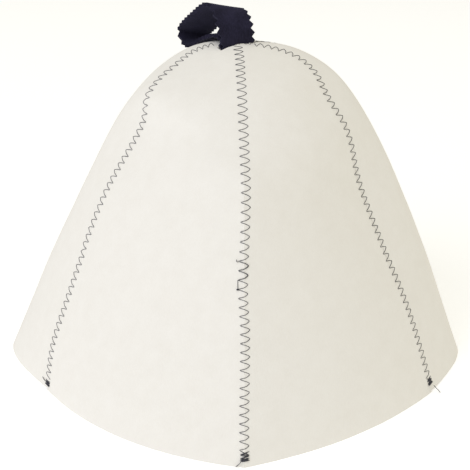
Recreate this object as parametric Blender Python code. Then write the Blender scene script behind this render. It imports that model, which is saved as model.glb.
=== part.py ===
"""Sauna hat of white wool felt, with a hanging loop of dark navy felt at the crown.

Six long triangular panels, the gores, butt edge to edge along six seams that climb from the rim
to the crown. The hat stands on its rim, which lies in the plane Z = 0, with its front towards -Y.
Azimuths are degrees about Z, from 0 at the front, growing towards the wearer's left side (+X).
"""

import math
from statistics import mean

import bmesh
import bpy
from mathutils import Vector

MM = 0.001

FELT_THICKNESS = 2.4 * MM
SEAM_GAP = 0.3 * MM

# The skin's cross sections, in millimetres. A seam's or a fold's column is its distance from the
# upright line through the crown; the folds are the soft bends down the middle of the side gores. A
# bow is how far a front or back gore bulges beyond the straight line between its two seams, as a
# share of that line. Lean is how steeply a section rises towards the back, and spread is how far
# the seams have turned from their azimuths lower down to those at the crown.
SECTION_COLUMNS = (
    "height", "front_seam", "front_right_seam", "right_fold", "back_right_seam", "back_seam",
    "back_left_seam", "left_fold", "front_left_seam", "right_bow", "left_bow", "lean", "spread",
)
SECTIONS = (
    (0.0, 122.5, 119.0, 132.3, 118.0, 130.0, 117.0, 132.0, 115.5, 0.068, 0.104, 0.0, 0.0),
    (26.0, 114.0, 110.0, 122.0, 110.0, 119.5, 109.5, 120.3, 111.0, 0.085, 0.085, 0.0, 0.0),
    (52.0, 105.0, 99.3, 112.0, 100.5, 109.5, 100.5, 109.0, 101.0, 0.085, 0.080, 0.0, 0.0),
    (78.0, 95.5, 86.0, 101.0, 89.5, 98.0, 90.0, 96.5, 90.5, 0.080, 0.078, 0.0, 0.0),
    (104.0, 85.0, 73.5, 88.8, 77.5, 85.0, 78.0, 83.5, 79.0, 0.078, 0.078, 0.0, 0.0),
    (118.0, 78.5, 68.0, 82.0, 71.0, 78.0, 71.5, 76.5, 70.5, 0.080, 0.080, 0.0, 0.0),
    (131.0, 71.0, 65.0, 75.0, 64.5, 70.5, 65.0, 69.5, 61.5, 0.090, 0.090, 0.0, 0.0),
    (144.0, 59.5, 60.5, 67.0, 57.5, 62.0, 57.5, 61.5, 54.5, 0.110, 0.110, 0.045, 0.0),
    (158.0, 47.5, 48.5, 56.5, 48.5, 51.5, 48.5, 50.0, 52.5, 0.120, 0.120, 0.080, 0.08),
    (168.0, 33.5, 40.0, 44.0, 38.5, 39.0, 33.0, 38.0, 34.0, 0.110, 0.110, 0.070, 0.45),
    (175.0, 20.0, 25.0, 26.0, 21.5, 17.0, 21.0, 24.0, 22.0, 0.075, 0.075, 0.120, 0.80),
    (178.5, 0.0, 0.0, 0.0, 0.0, 0.0, 0.0, 0.0, 0.0, 0.075, 0.075, 0.090, 1.0),
)
RADII = [name for name in SECTION_COLUMNS if name.endswith(("_seam", "_fold"))]
HAT_HEIGHT = SECTIONS[-1][0] * MM

# The crown stands this far in front of the rim's middle, which is the origin.
CROWN_FORWARD = 3.8 * MM
CROWN = Vector((0.0, -CROWN_FORWARD, HAT_HEIGHT))

# Where each seam stands around the hat, and where it comes in at the crown: the strap parts the
# front gores from the others there, so the side seams end in line with it.
SEAM_COLUMNS = ("name", "azimuth", "crown_azimuth")
SEAMS = (
    ("front_seam", 2.2, 2.2),
    ("front_right_seam", 64.5, 92.0),
    ("back_right_seam", 118.0, 138.0),
    ("back_seam", 180.0, 180.0),
    ("back_left_seam", 242.0, 220.0),
    ("front_left_seam", 298.0, 260.0),
)

# Each gore runs from its first seam to its second. A side gore is folded softly down its middle.
# A lift is how far the cut rim rises off the floor beside a seam, in millimetres.
GORE_COLUMNS = ("name", "first_seam", "second_seam", "shape", "first_lift", "second_lift")
GORES = (
    ("gore_front_right", "front_seam", "front_right_seam", "right_bow", 0.0, 0.0),
    ("gore_right", "front_right_seam", "back_right_seam", "right_fold", 0.9, 0.0),
    ("gore_back_right", "back_right_seam", "back_seam", "right_bow", 0.0, 0.0),
    ("gore_back_left", "back_seam", "back_left_seam", "left_bow", 0.0, 0.0),
    ("gore_left", "back_left_seam", "front_left_seam", "left_fold", 0.0, 1.2),
    ("gore_front_left", "front_left_seam", "front_seam", "left_bow", 0.0, 0.0),
)
BOW_ROUNDNESS = 3.0
FOLD_ROUNDNESS = 0.46
LIFT_REACH = 0.22

# Soft dents pressed into the gores by storage, in millimetres; across runs from 0 to 1.
DENT_COLUMNS = ("gore", "across", "height", "half_width", "half_height", "depth")
DENTS = (
    ("gore_front_left", 0.17, 144.0, 0.17, 17.0, 1.8),
    ("gore_front_right", 0.86, 152.0, 0.14, 12.0, 1.2),
)
DENT_SAG = 0.35

# How finely each gore is faceted. The rows stop just short of the crown, where the tips meet.
COLUMNS_ACROSS = 12
ROWS_UP = 26
TIP_MARGIN = 0.993
NORMAL_STEP = 0.004
SHARPEST_MITRE = 0.5

# The hanging loop's middle line, in millimetres from the crown point, from the front end inside
# the hat, up, over the crest, back to the far bend, and forward again to the back end. Turn is the
# plan direction of its width away from +X, and roll is how far its right edge hangs, in degrees.
LOOP_COLUMNS = ("right", "back", "up", "turn", "roll")
LOOP_FOLDS = (
    (-1.0, -1.0, -10.0, 28.0, 0.0),
    (-1.0, -1.0, -2.5, 28.0, 0.0),
    (-1.1, -1.0, 0.6, 27.0, 0.0),
    (-2.1, -0.6, 6.1, 9.0, 0.5),
    (-3.5, 2.0, 11.8, 5.0, 1.5),
    (-5.4, 5.0, 15.3, 2.0, 5.0),
    (-7.6, 9.5, 17.0, 2.0, 8.0),
    (-10.9, 14.5, 15.9, 2.5, 9.0),
    (-17.4, 27.7, 8.9, 3.5, 9.5),
    (-23.4, 40.4, 1.6, 6.5, 10.0),
    (-25.9, 47.8, -3.1, 13.5, 5.5),
    (-24.9, 46.6, -7.0, 24.0, -1.0),
    (-20.8, 37.7, -7.6, 31.0, -5.0),
    (-13.0, 20.0, -0.4, 31.0, -3.0),
    (-6.6, 8.6, 3.1, 29.0, 0.0),
    (-2.7, 2.2, 2.8, 28.0, 0.0),
    (-2.0, 1.0, 0.4, 28.0, 0.0),
    (-2.0, 1.0, -10.0, 28.0, 0.0),
)
LOOP_THICKNESS = 1.7 * MM
LOOP_WIDTH = 20.0 * MM
TOOTH_DEPTH = 1.8 * MM
TOOTH_PITCH = 4.4 * MM
STRAP_COLUMNS = (-1.0, -0.62, 0.0, 0.62, 1.0)
STRAP_STEP = 0.4
SLOT_CLEARANCE = 0.3 * MM
SLOT_HEIGHT = 40.0 * MM

FELT_WHITE = (0.84, 0.82, 0.78, 1.0)
FELT_NAVY = (0.020, 0.019, 0.040, 1.0)
FELT_ROUGHNESS = 0.95
SHARP_EDGE = math.radians(50.0)


def clear_scene():
    for item in list(bpy.data.objects):
        bpy.data.objects.remove(item, do_unlink=True)


def felt_material(name, colour):
    material = bpy.data.materials.new(name)
    material.use_nodes = True
    shader = material.node_tree.nodes["Principled BSDF"]
    shader.inputs["Base Color"].default_value = colour
    shader.inputs["Roughness"].default_value = FELT_ROUGHNESS
    shader.inputs["Metallic"].default_value = 0.0
    return material


def named_rows(columns, rows):
    """The rows of a table as dictionaries, with the columns' names as their keys."""
    return [dict(zip(columns, row)) for row in rows]


def smooth_between(places, values, place):
    """Cubic curve through values at rising places, with slopes taken from the neighbours."""
    last = len(places) - 1
    k = max(i for i in range(last) if i == 0 or places[i] <= place)

    def slope(i):
        low, high = max(i - 1, 0), min(i + 1, last)
        return (values[high] - values[low]) / (places[high] - places[low])

    span = places[k + 1] - places[k]
    s = (place - places[k]) / span
    start, end = values[k], values[k + 1]
    rise, fall = slope(k) * span, slope(k + 1) * span
    return (
        (2 * s**3 - 3 * s**2 + 1) * start
        + (s**3 - 2 * s**2 + s) * rise
        + (3 * s**2 - 2 * s**3) * end
        + (s**3 - s**2) * fall
    )


def chord_places(points):
    """Running distance along a line of points, from 0 at the first."""
    places = [0.0]
    for before, after in zip(points, points[1:]):
        places.append(places[-1] + math.dist(before, after))
    return places


def bow(across, roundness):
    """A hump from 0 at both seams to 1 in the middle; a small roundness folds it sharply."""
    offset = 2.0 * across - 1.0
    rim = math.hypot(1.0, roundness)
    return (rim - math.hypot(offset, roundness)) / (rim - roundness)


class Skin:
    """The hat's outer surface: sections joined by smooth curves, closed flat at the crown."""

    def __init__(self):
        climbing = named_rows(SECTION_COLUMNS, SECTIONS)
        beyond_crown = []
        for section in climbing[-2:-4:-1]:
            far_side = {name: -section[name] for name in RADII}
            beyond_crown.append({**section, **far_side})
        self.sections = climbing + beyond_crown
        profile = [(mean(s[name] for name in RADII), s["height"]) for s in self.sections]
        self.places = chord_places(profile)
        self.crown = self.places[len(climbing) - 1]
        self.gores = named_rows(GORE_COLUMNS, GORES)
        self.seams = {seam["name"]: seam for seam in named_rows(SEAM_COLUMNS, SEAMS)}

    def section(self, climb):
        """Named section values at a climb from 0 at the rim to 1 at the crown."""
        return {
            name: smooth_between(self.places, [s[name] for s in self.sections], climb * self.crown)
            for name in SECTION_COLUMNS
        }

    def seam_plan(self, seam, section):
        low, high = self.seams[seam]["azimuth"], self.seams[seam]["crown_azimuth"]
        angle = math.radians(low + (high - low) * section["spread"])
        return Vector((math.sin(angle), -math.cos(angle))) * section[seam]

    def point(self, gore, across, climb):
        """A point of the outer face, across from 0 at the gore's first seam to 1 at its second."""
        section = self.section(climb)
        first = self.seam_plan(gore["first_seam"], section)
        second = self.seam_plan(gore["second_seam"], section)
        chord = second - first
        outward = Vector((chord.y, -chord.x)).normalized()
        shape = gore["shape"]
        if shape.endswith("_fold"):
            bulge = section[shape] - outward.dot((first + second) / 2.0)
            roundness = FOLD_ROUNDNESS
        else:
            bulge = section[shape] * chord.length
            roundness = BOW_ROUNDNESS
        plan = first + chord * across + outward * (bulge * bow(across, roundness))
        spot = Vector((plan.x, plan.y, section["height"] + section["lean"] * plan.y))
        for dent in named_rows(DENT_COLUMNS, DENTS):
            if dent["gore"] == gore["name"]:
                sideways = (across - dent["across"]) / dent["half_width"]
                upwards = (spot.z - dent["height"]) / dent["half_height"]
                press = dent["depth"] * math.exp(-(sideways**2 + upwards**2))
                press *= 4.0 * across * (1.0 - across)
                spot -= Vector((outward.x, outward.y, DENT_SAG)) * press
        return Vector((CROWN.x, CROWN.y, 0.0)) + spot * MM

    def normal(self, gore, across, climb):
        """Unit normal, facing out, from small steps along the surface."""
        left, right = max(across - NORMAL_STEP, 0.0), min(across + NORMAL_STEP, 1.0)
        low, high = max(climb - NORMAL_STEP, 0.0), min(climb + NORMAL_STEP, TIP_MARGIN)
        sideways = self.point(gore, right, climb) - self.point(gore, left, climb)
        upwards = self.point(gore, across, high) - self.point(gore, across, low)
        return sideways.cross(upwards).normalized()

    def inward(self, index, column, climb):
        """The step from the outer face to the inner one, mitred where two gores meet."""
        normal = self.normal(self.gores[index], column / COLUMNS_ACROSS, climb)
        other = normal
        if column == 0:
            other = self.normal(self.gores[index - 1], 1.0, climb)
        if column == COLUMNS_ACROSS:
            other = self.normal(self.gores[(index + 1) % len(self.gores)], 0.0, climb)
        middle = (normal + other).normalized()
        return middle * (-FELT_THICKNESS / max(middle.dot(normal), SHARPEST_MITRE))


def rim_lift(gore, across):
    near_first = max(0.0, 1.0 - across / LIFT_REACH)
    near_second = max(0.0, 1.0 - (1.0 - across) / LIFT_REACH)
    return (gore["first_lift"] * near_first + gore["second_lift"] * near_second) * MM


def mesh_object(name, vertices, faces, material):
    mesh = bpy.data.meshes.new(name)
    mesh.from_pydata([tuple(v) for v in vertices], [], faces)
    mesh.materials.append(material)
    shape = bmesh.new()
    shape.from_mesh(mesh)
    bmesh.ops.recalc_face_normals(shape, faces=shape.faces)
    shape.to_mesh(mesh)
    shape.free()
    mesh.shade_smooth()
    mesh.set_sharp_from_angle(angle=SHARP_EDGE)
    item = bpy.data.objects.new(name, mesh)
    bpy.context.scene.collection.objects.link(item)
    return item


def slab_faces(rows, columns):
    """Quads of a closed slab: an outer grid, an inner grid behind it, and the four edges."""
    outer = [[r * columns + c for c in range(columns)] for r in range(rows)]
    inner = [[rows * columns + index for index in row] for row in outer]
    faces = []
    for r in range(rows - 1):
        for c in range(columns - 1):
            faces.append((outer[r][c], outer[r][c + 1], outer[r + 1][c + 1], outer[r + 1][c]))
            faces.append((inner[r][c], inner[r + 1][c], inner[r + 1][c + 1], inner[r][c + 1]))
    for r in range(rows - 1):
        for c in (0, columns - 1):
            faces.append((outer[r][c], outer[r + 1][c], inner[r + 1][c], inner[r][c]))
    for c in range(columns - 1):
        for r in (0, rows - 1):
            faces.append((outer[r][c], outer[r][c + 1], inner[r][c + 1], inner[r][c]))
    return faces


def make_gore(skin, index, material):
    gore = skin.gores[index]
    outer, inner = [], []
    for row in range(ROWS_UP + 1):
        climb = TIP_MARGIN * row / ROWS_UP
        side = (skin.point(gore, 1.0, climb) - skin.point(gore, 0.0, climb)).normalized()
        for column in range(COLUMNS_ACROSS + 1):
            across = column / COLUMNS_ACROSS
            spot = skin.point(gore, across, climb)
            spot += side * (SEAM_GAP / 2.0) * (1.0 - 2.0 * across)
            inside = spot + skin.inward(index, column, climb)
            if row == 0:
                spot.z = rim_lift(gore, across)
                inside.z = spot.z
            outer.append(spot)
            inner.append(inside)
    faces = slab_faces(ROWS_UP + 1, COLUMNS_ACROSS + 1)
    return mesh_object(gore["name"], outer + inner, faces, material)


def loop_line(folds, places, place):
    """Middle point and width direction of the strap at a place along it."""
    here = {
        name: smooth_between(places, [fold[name] for fold in folds], place)
        for name in LOOP_COLUMNS
    }
    middle = Vector((here["right"], here["back"], here["up"])) * MM
    turn, roll = math.radians(here["turn"]), math.radians(here["roll"])
    width = Vector((
        math.cos(turn) * math.cos(roll),
        math.sin(turn) * math.cos(roll),
        -math.sin(roll),
    ))
    return middle, width


def make_loop(material):
    """One pinked strap: its saw-toothed edges step in and out every half tooth."""
    folds = named_rows(LOOP_COLUMNS, LOOP_FOLDS)
    places = chord_places([(fold["right"], fold["back"], fold["up"]) for fold in folds])
    steps = int(places[-1] * MM / (TOOTH_PITCH / 2.0))
    outer, inner = [], []
    for step in range(steps + 1):
        place = places[-1] * step / steps
        middle, width = loop_line(folds, places, place)
        before, _ = loop_line(folds, places, max(place - STRAP_STEP, 0.0))
        after, _ = loop_line(folds, places, min(place + STRAP_STEP, places[-1]))
        outward = width.cross(after - before).normalized() * (LOOP_THICKNESS / 2.0)
        notch = TOOTH_DEPTH if step % 2 == 0 else 0.0
        for share in STRAP_COLUMNS:
            reach = share * LOOP_WIDTH / 2.0
            if abs(share) == 1.0:
                reach -= share * notch
            spot = CROWN + middle + width * reach
            outer.append(spot + outward)
            inner.append(spot - outward)
    faces = slab_faces(steps + 1, len(STRAP_COLUMNS))
    return mesh_object("hanging_loop", outer + inner, faces, material)


def make_slot_cutter():
    """The opening between the gores' tips that both ends of the loop pass through."""
    folds = named_rows(LOOP_COLUMNS, LOOP_FOLDS)
    front = Vector((folds[0]["right"], folds[0]["back"])) * MM
    back = Vector((folds[-1]["right"], folds[-1]["back"])) * MM
    middle = CROWN + ((front + back) / 2.0).to_3d()
    bpy.ops.mesh.primitive_cube_add(size=1.0)
    cutter = bpy.context.object
    cutter.name = "slot_cutter"
    cutter.scale = (
        LOOP_WIDTH + 2.0 * SLOT_CLEARANCE,
        (back - front).length + LOOP_THICKNESS + 2.0 * SLOT_CLEARANCE,
        SLOT_HEIGHT,
    )
    cutter.rotation_euler = (0.0, 0.0, math.radians(folds[0]["turn"]))
    cutter.location = middle
    cutter.hide_render = True
    cutter.display_type = "WIRE"
    return cutter


def cut_slot(item, cutter):
    cut = item.modifiers.new("slot", "BOOLEAN")
    cut.operation = "DIFFERENCE"
    cut.object = cutter
    cut.solver = "EXACT"


def main():
    clear_scene()
    skin = Skin()
    cutter = make_slot_cutter()
    for index, gore in enumerate(skin.gores):
        material = felt_material(gore["name"] + "_felt", FELT_WHITE)
        cut_slot(make_gore(skin, index, material), cutter)
    make_loop(felt_material("hanging_loop_felt", FELT_NAVY))


main()
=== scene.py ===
import math

import bpy
from mathutils import Matrix, Vector, noise
from mathutils.bvhtree import BVHTree


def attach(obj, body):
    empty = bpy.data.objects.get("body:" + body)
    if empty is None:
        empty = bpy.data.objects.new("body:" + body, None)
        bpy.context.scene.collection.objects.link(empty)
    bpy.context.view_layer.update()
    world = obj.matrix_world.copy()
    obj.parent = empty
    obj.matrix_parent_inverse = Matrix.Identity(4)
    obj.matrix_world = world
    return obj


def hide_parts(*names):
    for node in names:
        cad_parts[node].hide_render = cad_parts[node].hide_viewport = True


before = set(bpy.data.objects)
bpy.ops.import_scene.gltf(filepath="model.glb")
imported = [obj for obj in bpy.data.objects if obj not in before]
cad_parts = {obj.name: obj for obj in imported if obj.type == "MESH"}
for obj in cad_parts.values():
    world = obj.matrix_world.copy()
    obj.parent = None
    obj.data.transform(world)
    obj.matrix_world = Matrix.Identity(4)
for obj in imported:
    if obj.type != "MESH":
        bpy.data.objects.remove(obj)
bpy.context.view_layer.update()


# The gores: six long triangular panels of pressed white wool felt, 2.4 mm thick, that make the
# hat. Their long edges are butted, and the stitches draw them together until they touch. The cloth
# keeps a slight unevenness from the felting, and lies lower under the thread.
MM = 0.001
GORES = (
    "gore_front_right", "gore_right", "gore_back_right",
    "gore_back_left", "gore_left", "gore_front_left",
)
HAT_MIDDLE = Vector((0.0, -3.8 * MM, 60.0 * MM))
MERGE_REACH = 0.01 * MM
PAIR_BEND = 0.7  # radians
PAIR_SKEW = 0.9  # radians
CUT_EDGE_ANGLE = math.radians(40)
JOINT_REACH = 0.9 * MM
CLOSED_JOINT_REACH = 0.3 * MM
FELT_SMOOTHING = 3
UNEVEN_DEPTH = 0.16 * MM
UNEVEN_LENGTH = 19.0 * MM
SEAM_PRESS = 0.22 * MM
SEAM_PRESS_REACH = 2.4 * MM
SEAM_PRESS_END = 3 * SEAM_PRESS_REACH
SIDE_SHARPNESS = 1.5
RIM_ROUGHNESS = 0.13 * MM
RIM_ROUGHNESS_LENGTH = 3.2 * MM
RIM_HEIGHT = 5.0 * MM


def select_only(piece):
    bpy.ops.object.select_all(action="DESELECT")
    piece.select_set(True)
    bpy.context.view_layer.objects.active = piece


def copy_of_node(node, name):
    """A copy of a CAD node with its corners merged and its triangles paired, left active."""
    piece = bpy.data.objects.new(name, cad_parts[node].data.copy())
    bpy.context.scene.collection.objects.link(piece)
    select_only(piece)
    bpy.ops.object.mode_set(mode="EDIT")
    bpy.ops.mesh.select_all(action="SELECT")
    bpy.ops.mesh.remove_doubles(threshold=MERGE_REACH)
    bpy.ops.mesh.tris_convert_to_quads(face_threshold=PAIR_BEND, shape_threshold=PAIR_SKEW)
    bpy.ops.object.mode_set(mode="OBJECT")
    return piece


def crease_cut_edges(angle):
    """Keeps the active piece's cut edges sharp when it is smoothed."""
    bpy.ops.object.mode_set(mode="EDIT")
    bpy.ops.mesh.select_mode(type="EDGE")
    bpy.ops.mesh.select_all(action="DESELECT")
    bpy.ops.mesh.edges_select_sharp(sharpness=angle)
    bpy.ops.transform.edge_crease(value=1.0)
    bpy.ops.object.mode_set(mode="OBJECT")


def smooth_piece(piece, levels):
    modifier = piece.modifiers.new("smoothing", "SUBSURF")
    modifier.levels = levels
    modifier.render_levels = levels
    bpy.ops.object.modifier_apply(modifier=modifier.name)


def tree_of(piece):
    places = [vertex.co for vertex in piece.data.vertices]
    faces = [polygon.vertices for polygon in piece.data.polygons]
    return BVHTree.FromPolygons(places, faces)


def neighbours_of(index):
    return GORES[index - 1], GORES[(index + 1) % len(GORES)]


def close_joints(panels, reach):
    """Draws the butted sides together: each point near the next gore goes half way to it."""
    trees = {name: tree_of(panel) for name, panel in panels.items()}
    for index, name in enumerate(GORES):
        for vertex in panels[name].data.vertices:
            start = vertex.co.copy()
            for neighbour in neighbours_of(index):
                touch = trees[neighbour].find_nearest(start, reach)[0]
                if touch:
                    vertex.co += (touch - start) / 2


panels = {name: copy_of_node(name, name + "_felt") for name in GORES}
close_joints(panels, JOINT_REACH)
for name in GORES:
    select_only(panels[name])
    crease_cut_edges(CUT_EDGE_ANGLE)
    smooth_piece(panels[name], FELT_SMOOTHING)
close_joints(panels, CLOSED_JOINT_REACH)

# Each point moves out or in: the outer face sinks under the thread, the inner face rises to it,
# both swell and dip slowly as felted wool does, and the cut rim is a little ragged.
joint_trees = {name: tree_of(panel) for name, panel in panels.items()}
for index, name in enumerate(GORES):
    panel = panels[name]
    moved = []
    for vertex in panel.data.vertices:
        outward = (vertex.co - HAT_MIDDLE).normalized()
        press = 0.0
        for neighbour in neighbours_of(index):
            gap = joint_trees[neighbour].find_nearest(vertex.co, SEAM_PRESS_END)[3]
            if gap is not None:
                press = max(press, SEAM_PRESS * math.exp(-((gap / SEAM_PRESS_REACH) ** 2)))
        swell = UNEVEN_DEPTH * noise.noise(vertex.co / UNEVEN_LENGTH)
        height = max(0.0, vertex.co.z)
        ragged = RIM_ROUGHNESS * noise.noise(vertex.co / RIM_ROUGHNESS_LENGTH)
        swell += ragged * max(0.0, 1.0 - height / RIM_HEIGHT)
        facing = max(-1.0, min(1.0, SIDE_SHARPNESS * vertex.normal.dot(outward)))
        moved.append(vertex.co + outward * (swell - press * facing))
    for vertex, place in zip(panel.data.vertices, moved):
        vertex.co = place
    select_only(panel)
    bpy.ops.object.shade_smooth_by_angle(angle=CUT_EDGE_ANGLE)


# The felt's finish: fine crossing fibres and a slow mottling, which both tint and raise the face.
WOOL_TURNS = ((0.3, 0.9, 0.2), (1.4, 0.2, 1.1), (0.8, 2.2, 0.5), (2.3, 1.3, 2.6))
WOOL_STRETCH = (1.0, 1.0, 0.14)
WOOL_DETAIL = 2.0
WOOL_BENDING = 0.6
MOTTLE_FINENESS = 120.0
MOTTLE_DETAIL = 5.0
MOTTLE_ROUGHNESS = 0.62
MOTTLE_HEIGHT = 0.9
FELT_FINENESS = 1600.0
FELT_ROUGHNESS = 1.0
FELT_SPECULAR = 0.15
FELT_SHEEN_ROUGHNESS = 0.6
FELT_RELIEF = 0.25 * MM
FIBRE_SHARE = 0.55
MOTTLE_SHARE = 0.45
DARK_AT = 0.38
LIGHT_AT = 0.68


def add_node(tree, kind, **settings):
    node = tree.nodes.new(kind)
    for setting, value in settings.items():
        setattr(node, setting, value)
    return node


def wool_group():
    """Matted wool: fibres crossing at several angles, their height, and a slow change of tone."""
    group = bpy.data.node_groups.new("matted_wool", "ShaderNodeTree")
    for socket, kind in (("Place", "NodeSocketVector"), ("Fineness", "NodeSocketFloat")):
        group.interface.new_socket(socket, in_out="INPUT", socket_type=kind)
    for socket in ("Fibres", "Mottle", "Height"):
        group.interface.new_socket(socket, in_out="OUTPUT", socket_type="NodeSocketFloat")
    entry = add_node(group, "NodeGroupInput")
    result = add_node(group, "NodeGroupOutput")
    strongest = None
    for turn in WOOL_TURNS:
        mapping = add_node(group, "ShaderNodeMapping")
        mapping.inputs["Rotation"].default_value = turn
        mapping.inputs["Scale"].default_value = WOOL_STRETCH
        group.links.new(entry.outputs["Place"], mapping.inputs["Vector"])
        strands = add_node(group, "ShaderNodeTexNoise")
        strands.inputs["Detail"].default_value = WOOL_DETAIL
        strands.inputs["Distortion"].default_value = WOOL_BENDING
        group.links.new(mapping.outputs["Vector"], strands.inputs["Vector"])
        group.links.new(entry.outputs["Fineness"], strands.inputs["Scale"])
        if strongest is None:
            strongest = strands.outputs["Fac"]
        else:
            larger = add_node(group, "ShaderNodeMath", operation="MAXIMUM")
            group.links.new(strongest, larger.inputs[0])
            group.links.new(strands.outputs["Fac"], larger.inputs[1])
            strongest = larger.outputs["Value"]
    mottle = add_node(group, "ShaderNodeTexNoise")
    mottle.inputs["Scale"].default_value = MOTTLE_FINENESS
    mottle.inputs["Detail"].default_value = MOTTLE_DETAIL
    mottle.inputs["Roughness"].default_value = MOTTLE_ROUGHNESS
    group.links.new(entry.outputs["Place"], mottle.inputs["Vector"])
    lumps = add_node(group, "ShaderNodeMath", operation="MULTIPLY_ADD")
    lumps.inputs[1].default_value = MOTTLE_HEIGHT
    group.links.new(mottle.outputs["Fac"], lumps.inputs[0])
    group.links.new(strongest, lumps.inputs[2])
    group.links.new(strongest, result.inputs["Fibres"])
    group.links.new(mottle.outputs["Fac"], result.inputs["Mottle"])
    group.links.new(lumps.outputs["Value"], result.inputs["Height"])
    return group


matted_wool = wool_group()


def felt_material(name, dark, light, bump, sheen, sheen_tint):
    """Pressed felt between two tones, with raised fibres."""
    material = bpy.data.materials.new(name)
    material.use_nodes = True
    tree = material.node_tree
    shader = tree.nodes["Principled BSDF"]
    shader.inputs["Roughness"].default_value = FELT_ROUGHNESS
    shader.inputs["Specular IOR Level"].default_value = FELT_SPECULAR
    shader.inputs["Sheen Weight"].default_value = sheen
    shader.inputs["Sheen Roughness"].default_value = FELT_SHEEN_ROUGHNESS
    shader.inputs["Sheen Tint"].default_value = sheen_tint
    place = add_node(tree, "ShaderNodeTexCoord")
    wool = add_node(tree, "ShaderNodeGroup", node_tree=matted_wool)
    wool.inputs["Fineness"].default_value = FELT_FINENESS
    tree.links.new(place.outputs["Object"], wool.inputs["Place"])
    blend = add_node(tree, "ShaderNodeMath", operation="MULTIPLY_ADD")
    blend.inputs[1].default_value = FIBRE_SHARE
    tree.links.new(wool.outputs["Fibres"], blend.inputs[0])
    mottling = add_node(tree, "ShaderNodeMath", operation="MULTIPLY")
    mottling.inputs[1].default_value = MOTTLE_SHARE
    tree.links.new(wool.outputs["Mottle"], mottling.inputs[0])
    tree.links.new(mottling.outputs["Value"], blend.inputs[2])
    tones = add_node(tree, "ShaderNodeValToRGB")
    tones.color_ramp.elements[0].position = DARK_AT
    tones.color_ramp.elements[0].color = dark
    tones.color_ramp.elements[1].position = LIGHT_AT
    tones.color_ramp.elements[1].color = light
    tree.links.new(blend.outputs["Value"], tones.inputs["Fac"])
    tree.links.new(tones.outputs["Color"], shader.inputs["Base Color"])
    raised = add_node(tree, "ShaderNodeBump")
    raised.inputs["Strength"].default_value = bump
    raised.inputs["Distance"].default_value = FELT_RELIEF
    tree.links.new(wool.outputs["Height"], raised.inputs["Height"])
    tree.links.new(raised.outputs["Normal"], shader.inputs["Normal"])
    return material


white_felt = felt_material(
    "white_wool_felt", dark=(0.825, 0.80, 0.752, 1.0), light=(0.865, 0.845, 0.803, 1.0),
    bump=0.28, sheen=0.12, sheen_tint=(1.0, 0.98, 0.95, 1.0),
)
for name in GORES:
    panel = panels[name]
    panel.data.materials.clear()
    panel.data.materials.append(white_felt)
    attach(panel, "root")
    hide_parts(name)


# The seam threads: dark polyester zigzag, 5 mm wide, over each butted joint from the rim to the
# crown, sharp at the needle's holes on one side and slack and round on the other. The felt's other
# face has the same zigzag, and each seam ends near the rim in a dense tack and a loose tail.

# Tacks are in mm up the seam, and places pair a count of zigzags with its mm up the seam.
SEAM_COLUMNS = ("name", "left_gore", "right_gore", "sharp_side", "tack_low", "tack_high", "places")
SEAMS = (
    ("seam_front", "gore_front_left", "gore_front_right", -1, 2.9, 8.0,
     ((0, 8.3), (18, 85.0), (22, 102.8), (48, 224.0))),
    ("seam_front_right", "gore_front_right", "gore_right", -1, 4.3, 8.4,
     ((0, 9.0), (53, 226.0))),
    ("seam_back_right", "gore_right", "gore_back_right", -1, 3.0, 6.5,
     ((0, 7.0), (52, 222.0))),
    ("seam_back", "gore_back_right", "gore_back_left", 1, 2.5, 6.0,
     ((0, 6.5), (52, 222.0))),
    ("seam_back_left", "gore_back_left", "gore_left", 1, 3.0, 7.0,
     ((0, 7.5), (52, 222.0))),
    ("seam_front_left", "gore_left", "gore_front_left", 1, 2.9, 5.8,
     ((0, 7.2), (10, 48.8), (26, 116.8), (38, 164.2), (46, 198.4), (52, 218.3))),
)
ZIGZAG_WIDTH = 5.1 * MM
THREAD_RADIUS = 0.14 * MM
THREAD_RISE = 0.10 * MM
HOLE_DEPTH = 0.22 * MM
KNOT_SWELL = 1.5
CORNER_REACH = 1.0 * MM
SEAM_ROW = math.radians(0.7)
ROUTE_SMOOTHING = 3
RIM_ROWS = 5
NORMAL_REACH = 2.2 * MM

# A stitch is a row of points at these shares of the zigzag's width. The one that climbs away from a
# hole sags, the next one comes back a little arched, and both meet at the slack side's apex.
STITCH_SHARES = (0.0, 0.12, 0.28, 0.44, 0.60, 0.75, 0.87, 0.96)
APEX_SHARE = 0.54
LOWER_BOW = 0.135
UPPER_BOW = 0.06
BOW_SKEW = 1.6

skin_trees = {name: tree_of(panel) for name, panel in panels.items()}


def felt_near(place):
    """Nearest point and normal on any gore."""
    best = None
    for tree in skin_trees.values():
        spot, normal, _, distance = tree.find_nearest(place)
        if best is None or distance < best[2]:
            best = (spot, normal, distance)
    return best[0], best[1]


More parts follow.
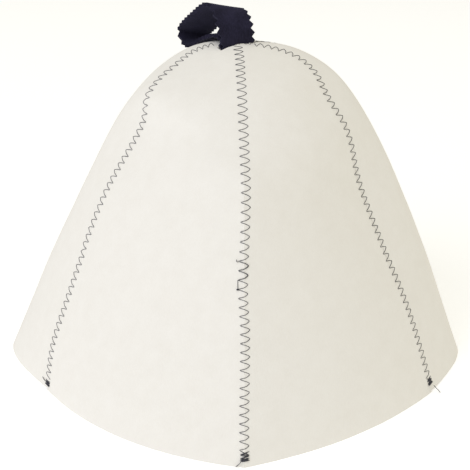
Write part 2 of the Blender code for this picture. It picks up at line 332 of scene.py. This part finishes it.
def seam_line(left_gore, right_gore, face):
    """Points and normals up a joint, from the rim to the crown, outside (face 1) or inside (-1)."""
    # The joint is cut in rows of equal angle seen from the hat's middle. Each row keeps its corner
    # that is furthest out, or for the inside nearest in.
    other = skin_trees[right_gore]
    rows = {}
    for vertex in panels[left_gore].data.vertices:
        if other.find_nearest(vertex.co, CORNER_REACH)[0] is None:
            continue
        away = vertex.co - HAT_MIDDLE
        row = round(math.atan2(away.z, away.xy.length) / SEAM_ROW)
        if row not in rows or face * away.length > face * (rows[row] - HAT_MIDDLE).length:
            rows[row] = vertex.co.copy()
    route = [rows[row] for row in sorted(rows)]
    for _ in range(ROUTE_SMOOTHING):
        inner = [(a + b * 2 + c) / 4 for a, b, c in zip(route, route[1:], route[2:])]
        route = [route[0]] + inner + [route[-1]]
    # The lowest rows give the slope for one more point, just below the rim.
    rise = (route[RIM_ROWS] - route[0]) / (route[RIM_ROWS].z - route[0].z)
    route.insert(0, route[0] - rise * (route[0].z + MERGE_REACH))
    line = []
    for k, place in enumerate(route):
        upward = (route[min(k + 1, len(route) - 1)] - route[max(k - 1, 0)]).normalized()
        sideways = upward.cross((place - HAT_MIDDLE) * face).normalized()
        clear_of_rim = upward * max(0.0, NORMAL_REACH - place.z)
        normal = Vector()
        for side in (-1, 1):
            normal += felt_near(place + clear_of_rim + sideways * side * NORMAL_REACH)[1]
        line.append((place, normal.normalized()))
    return line


def line_lengths(line):
    lengths = [0.0]
    for before, after in zip(line, line[1:]):
        lengths.append(lengths[-1] + (after[0] - before[0]).length)
    return lengths


def seam_axes(line, lengths, along):
    """The place, sideways direction, upward direction and normal at a distance up a seam."""
    along = min(max(along, 0.0), lengths[-1] - MERGE_REACH)
    k = max(i for i in range(len(lengths) - 1) if lengths[i] <= along)
    share = (along - lengths[k]) / (lengths[k + 1] - lengths[k])
    place = line[k][0].lerp(line[k + 1][0], share)
    normal = line[k][1].lerp(line[k + 1][1], share).normalized()
    upward = (line[min(k + 2, len(line) - 1)][0] - line[max(k - 1, 0)][0]).normalized()
    sideways = upward.cross(normal).normalized()
    return place, sideways, upward, normal


def place_on(line, lengths, along, across, rise):
    """A point at a height over the felt beside a seam."""
    place, sideways, _, _ = seam_axes(line, lengths, along)
    spot, normal = felt_near(place + sideways * across)
    return spot + normal * rise


def read_off(pairs, at):
    """Reads a value off a short list of pairs, on straight lines between them."""
    for low, high in zip(pairs, pairs[1:]):
        if at <= high[0]:
            break
    return low[1] + (high[1] - low[1]) * (at - low[0]) / (high[0] - low[0])


def zigzag_strand(line, lengths, seam, first, last, aside, rise):
    """The thread's route between two zigzags, as points with a thickness each."""
    strand = []
    for count in range(first, last):
        for low, high, bow in (
            (count, count + APEX_SHARE, -LOWER_BOW),
            (count + 1, count + APEX_SHARE, UPPER_BOW),
        ):
            stitch = []
            for share in STITCH_SHARES:
                place = low + (high - low) * share + bow * math.sin(math.pi * share ** BOW_SKEW)
                along = read_off(seam["places"], place) * MM
                across = seam["sharp_side"] * ZIGZAG_WIDTH * (0.5 - share) + aside(along)
                lift = rise if share else -HOLE_DEPTH
                thickness = 1.0 if share else KNOT_SWELL
                stitch.append((place_on(line, lengths, along, across, lift), thickness))
            strand += stitch if bow < 0.0 else stitch[::-1][:-1]
    return strand


def thread_piece(name, strands):
    """Thread along lines of points with a thickness each, as a mesh piece."""
    bpy.ops.object.select_all(action="DESELECT")
    bpy.ops.curve.primitive_nurbs_path_add()
    thread = bpy.context.object
    thread.name = name
    curve = thread.data
    curve.splines.clear()
    for strand in strands:
        spline = curve.splines.new("POLY")
        spline.points.add(len(strand) - 1)
        for point, (place, thickness) in zip(spline.points, strand):
            point.co = (*place, 1.0)
            point.radius = thickness
        spline.use_smooth = True
    curve.bevel_depth = THREAD_RADIUS
    curve.bevel_resolution = 1
    curve.use_fill_caps = True
    bpy.ops.object.convert(target="MESH")
    return bpy.context.object


# The front seam's line of stitches sways about the joint, as a hand guides the felt: mm up the
# seam, and mm aside.
FRONT_SWAY = (
    (0.0, 0.0), (24.0, -0.1), (50.0, 0.3), (66.0, 0.4), (80.0, -0.6), (92.0, -0.7),
    (110.0, 0.4), (130.0, 1.0), (150.0, 0.5), (180.0, -0.1), (206.0, -0.4), (230.0, -1.0),
)


def front_sway(along):
    return read_off(FRONT_SWAY, along / MM) * MM


def no_sway(along):
    return 0.0


# A tack is the same thread run back and forth over the seam's end: the side, and the height as a
# share of the tack.
TACK = (
    (-1, 1.00), (1, 0.62), (-1, 0.68), (1, 0.95), (-1, 0.58), (1, 0.52), (-1, 0.30), (1, 0.62),
    (-1, 0.20), (1, 0.34), (-1, 0.12), (1, 0.24), (-1, 0.06), (1, 0.16), (-1, 0.00), (1, 0.12),
    (-1, 0.08), (1, 0.20),
)
TACK_WIDTH = 4.3 * MM
TACK_ASIDE = 0.3 * MM
TACK_LAYER = 0.028 * MM
TACK_POINTS = 5
TACK_THICKNESS = 1.25

# A tail is the thread's cut end below each tack: mm aside, up and out from the seam's foot.
TAILS = (
    ("seam_front", ((-1.7, 3.4, 0.5), (-2.3, 2.2, 0.6), (-3.2, 1.2, 0.5), (-4.0, 0.3, 0.5))),
    ("seam_front_right", ((0.6, 5.2, 0.5), (2.2, 4.0, 0.5), (4.2, 2.6, 0.3), (5.2, 1.6, 0.3))),
    ("seam_back_right", ((-1.0, 3.2, 0.4), (-2.4, 2.4, 0.5), (-4.2, 2.2, 0.3))),
    ("seam_back", ((1.0, 2.8, 0.4), (2.0, 1.8, 0.5), (3.8, 1.6, 0.3))),
    ("seam_back_left", ((1.2, 3.2, 0.4), (2.6, 2.2, 0.5), (4.4, 2.4, 0.3))),
    ("seam_front_left", ((-1.8, 4.6, 0.5), (-3.0, 4.6, 0.5), (-4.4, 5.0, 0.4), (-5.6, 5.2, 0.3))),
)


def tack_strand(line, lengths, seam):
    low = seam["tack_low"] * MM
    height = (seam["tack_high"] - seam["tack_low"]) * MM
    strand = []
    for layer, (start, end) in enumerate(zip(TACK, TACK[1:])):
        rise = THREAD_RISE + layer * TACK_LAYER
        for step in range(TACK_POINTS):
            part = step / TACK_POINTS
            side = start[0] + (end[0] - start[0]) * part
            share = start[1] + (end[1] - start[1]) * part
            across = TACK_ASIDE - seam["sharp_side"] * side * TACK_WIDTH / 2
            place = place_on(line, lengths, low + share * height, across, rise)
            strand.append((place, TACK_THICKNESS))
    return strand


def loose_end(start, axes, route):
    """A free end of thread, along steps aside, up and out from its start."""
    _, sideways, upward, normal = axes
    strand = []
    for aside, up, out in route:
        spot = start + (sideways * aside + upward * up + normal * out) * MM
        strand.append((spot, TACK_THICKNESS))
    return strand


# A new thread began part way up the front seam: two zigzags are sewn twice, with a short end at the
# top, and below them a float runs down to a small knot at a needle hole.
RESTART_FIRST = 19
RESTART_LAST = 21
RESTART_ASIDE = 0.22 * MM
RESTART_RISE = 0.30 * MM
RESTART_END = ((-0.7, -0.3, 0.4), (-1.0, 0.1, 0.4), (-0.9, 0.8, 0.5))
KNOT_TURNS = 3
KNOT_STEPS = 8
KNOT_RADII = (0.55 * MM, 0.32 * MM)


def hole_place(line, lengths, seam, count, aside, rise):
    """The place over a needle hole on the sharp side, and the seam's axes there."""
    along = read_off(seam["places"], count) * MM
    across = seam["sharp_side"] * ZIGZAG_WIDTH / 2 + aside(along)
    return place_on(line, lengths, along, across, rise), seam_axes(line, lengths, along)


def knot_strand(middle, axes):
    """A small tangle: a few turns of thread that circle while they tilt."""
    _, sideways, upward, normal = axes
    strand = []
    for step in range(KNOT_TURNS * KNOT_STEPS + 1):
        turn = 2 * math.pi * step / KNOT_STEPS
        tilt = math.pi * step / (KNOT_TURNS * KNOT_STEPS)
        spot = middle + sideways * (KNOT_RADII[0] * math.cos(turn))
        spot += (upward * math.cos(tilt) + normal * math.sin(tilt)) * KNOT_RADII[1] * math.sin(turn)
        strand.append((spot, TACK_THICKNESS))
    return strand


def restart_strands(line, lengths, seam):
    def moved_sway(along):
        return front_sway(along) + RESTART_ASIDE

    doubled = zigzag_strand(
        line, lengths, seam, RESTART_FIRST, RESTART_LAST, moved_sway, RESTART_RISE
    )
    top, axes = hole_place(line, lengths, seam, RESTART_LAST, front_sway, THREAD_RISE)
    end = [(top, 1.0)] + loose_end(top, axes, RESTART_END)
    float_top, _ = hole_place(line, lengths, seam, RESTART_FIRST, front_sway, THREAD_RISE)
    knot, axes = hole_place(line, lengths, seam, RESTART_FIRST - 1, front_sway, RESTART_RISE)
    return [doubled, end, [(float_top, 1.0), (knot, 1.0)], knot_strand(knot, axes)]


# The thread's finish: near black navy, with the fine light and dark of its twist.
THREAD_ROUGHNESS = 0.6
THREAD_TWIST = 2600.0
THREAD_DARK = (0.018, 0.018, 0.026, 1.0)
THREAD_LIGHT = (0.05, 0.05, 0.066, 1.0)

thread_material = bpy.data.materials.new("navy_thread")
thread_material.use_nodes = True
thread_tree = thread_material.node_tree
thread_shader = thread_tree.nodes["Principled BSDF"]
thread_shader.inputs["Roughness"].default_value = THREAD_ROUGHNESS
thread_place = add_node(thread_tree, "ShaderNodeTexCoord")
thread_twist = add_node(thread_tree, "ShaderNodeTexNoise")
thread_twist.inputs["Scale"].default_value = THREAD_TWIST
thread_tone = add_node(thread_tree, "ShaderNodeValToRGB")
thread_tone.color_ramp.elements[0].color = THREAD_DARK
thread_tone.color_ramp.elements[1].color = THREAD_LIGHT
thread_tree.links.new(thread_place.outputs["Object"], thread_twist.inputs["Vector"])
thread_tree.links.new(thread_twist.outputs["Fac"], thread_tone.inputs["Fac"])
thread_tree.links.new(thread_tone.outputs["Color"], thread_shader.inputs["Base Color"])

tails = dict(TAILS)
for row in SEAMS:
    seam = dict(zip(SEAM_COLUMNS, row))
    sway = front_sway if seam["name"] == "seam_front" else no_sway
    last = seam["places"][-1][0]
    outer = seam_line(seam["left_gore"], seam["right_gore"], 1)
    outer_lengths = line_lengths(outer)
    inner = seam_line(seam["left_gore"], seam["right_gore"], -1)
    inner_lengths = line_lengths(inner)
    foot = seam_axes(outer, outer_lengths, 0.0)
    strands = [
        zigzag_strand(outer, outer_lengths, seam, 0, last, sway, THREAD_RISE),
        zigzag_strand(inner, inner_lengths, seam, 0, last, no_sway, THREAD_RISE),
        tack_strand(outer, outer_lengths, seam),
        tack_strand(inner, inner_lengths, seam),
        loose_end(foot[0], foot, tails[seam["name"]]),
    ]
    if seam["name"] == "seam_front":
        strands += restart_strands(outer, outer_lengths, seam)
    thread = thread_piece(seam["name"] + "_thread", strands)
    thread.data.materials.clear()
    thread.data.materials.append(thread_material)
    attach(thread, "root")


# The hanging loop: a 20 mm strap of thin navy felt, cut along both sides with pinking shears. Both
# ends go down through the slot at the crown, and the loop has fallen over to the back left.
LOOP_SMOOTHING = 2
TOOTH_ANGLE = math.radians(40)

loop = copy_of_node("hanging_loop", "hanging_loop_felt")
crease_cut_edges(TOOTH_ANGLE)
smooth_piece(loop, LOOP_SMOOTHING)
bpy.ops.object.shade_smooth_by_angle(angle=TOOTH_ANGLE)
navy_felt = felt_material(
    "navy_wool_felt", dark=(0.005, 0.0045, 0.009, 1.0), light=(0.021, 0.019, 0.040, 1.0),
    bump=0.5, sheen=0.07, sheen_tint=(0.55, 0.55, 1.0, 1.0),
)
loop.data.materials.clear()
loop.data.materials.append(navy_felt)
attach(loop, "root")
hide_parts("hanging_loop")


# The floor: a plain pale sheet that the hat stands on, wide enough to fill the view. It glows a
# little, so that it shows as white as the ground in the photograph.
FLOOR_SIZE = 12.0
FLOOR_COLOUR = (0.93, 0.93, 0.93, 1.0)
FLOOR_ROUGHNESS = 0.9
FLOOR_GLOW = 0.29
FLOOR_GLOW_COLOUR = (1.0, 1.0, 1.0, 1.0)

bpy.ops.object.select_all(action="DESELECT")
bpy.ops.mesh.primitive_plane_add(size=FLOOR_SIZE, location=(0.0, 0.0, 0.0))
floor = bpy.context.object
floor.name = "floor"
floor_material = bpy.data.materials.new("pale_floor")
floor_material.use_nodes = True
floor_shader = floor_material.node_tree.nodes["Principled BSDF"]
floor_shader.inputs["Base Color"].default_value = FLOOR_COLOUR
floor_shader.inputs["Roughness"].default_value = FLOOR_ROUGHNESS
floor_shader.inputs["Emission Color"].default_value = FLOOR_GLOW_COLOUR
floor_shader.inputs["Emission Strength"].default_value = FLOOR_GLOW
floor.data.materials.append(floor_material)


# The light: a broad soft box from the front left, a weak warm one from the right, one overhead and
# an even surround. The camera stands where the photograph's did, looking 22 degrees down.
SURROUND_STRENGTH = 0.505
SURROUND_COLOUR = (1.0, 0.975, 0.85, 1.0)
LIGHT_COLUMNS = ("name", "azimuth", "elevation", "distance", "size", "watts", "colour")
LIGHTS = (
    ("key_light", -46, 35, 4.0, 2.4, 63.0, (0.84, 0.865, 1.0)),
    ("fill_light", 95, 15, 3.0, 2.0, 11.0, (1.0, 0.92, 0.74)),
    ("top_light", 0, 88, 4.0, 3.0, 32.0, (1.0, 0.99, 0.94)),
)
LIGHT_AIM = Vector((0.0, 0.0, 0.09))
CAMERA_PLACE = Vector((-1.1 * MM, -502.8 * MM, 272.5 * MM))
CAMERA_TILT = math.radians(22.1)
CAMERA_ROLL = math.radians(0.73)
FOCAL_PIXELS = 950.0
FRAME_PIXELS = 470.0
SENSOR = 36.0

scene = bpy.context.scene
world = bpy.data.worlds.new("pale_surround")
world.use_nodes = True
world.node_tree.nodes["Background"].inputs["Color"].default_value = SURROUND_COLOUR
world.node_tree.nodes["Background"].inputs["Strength"].default_value = SURROUND_STRENGTH
scene.world = world
scene.view_settings.view_transform = "Standard"

for row in LIGHTS:
    light = dict(zip(LIGHT_COLUMNS, row))
    azimuth = math.radians(light["azimuth"])
    elevation = math.radians(light["elevation"])
    level = math.cos(elevation)
    ray = Vector((math.sin(azimuth) * level, -math.cos(azimuth) * level, math.sin(elevation)))
    bpy.ops.object.light_add(type="AREA", location=LIGHT_AIM + ray * light["distance"])
    lamp = bpy.context.object
    lamp.name = light["name"]
    lamp.data.size = light["size"]
    lamp.data.energy = light["watts"]
    lamp.data.color = light["colour"]
    lamp.rotation_euler = ray.to_track_quat("Z", "Y").to_euler()

bpy.ops.object.camera_add(location=CAMERA_PLACE)
camera = bpy.context.object
camera.name = "photo_camera"
camera.data.sensor_width = SENSOR
camera.data.lens = SENSOR * FOCAL_PIXELS / FRAME_PIXELS
tilt = Matrix.Rotation(math.pi / 2 - CAMERA_TILT, 4, "X")
roll = Matrix.Rotation(CAMERA_ROLL, 4, "Z")
camera.matrix_world = Matrix.Translation(CAMERA_PLACE) @ tilt @ roll
scene.camera = camera
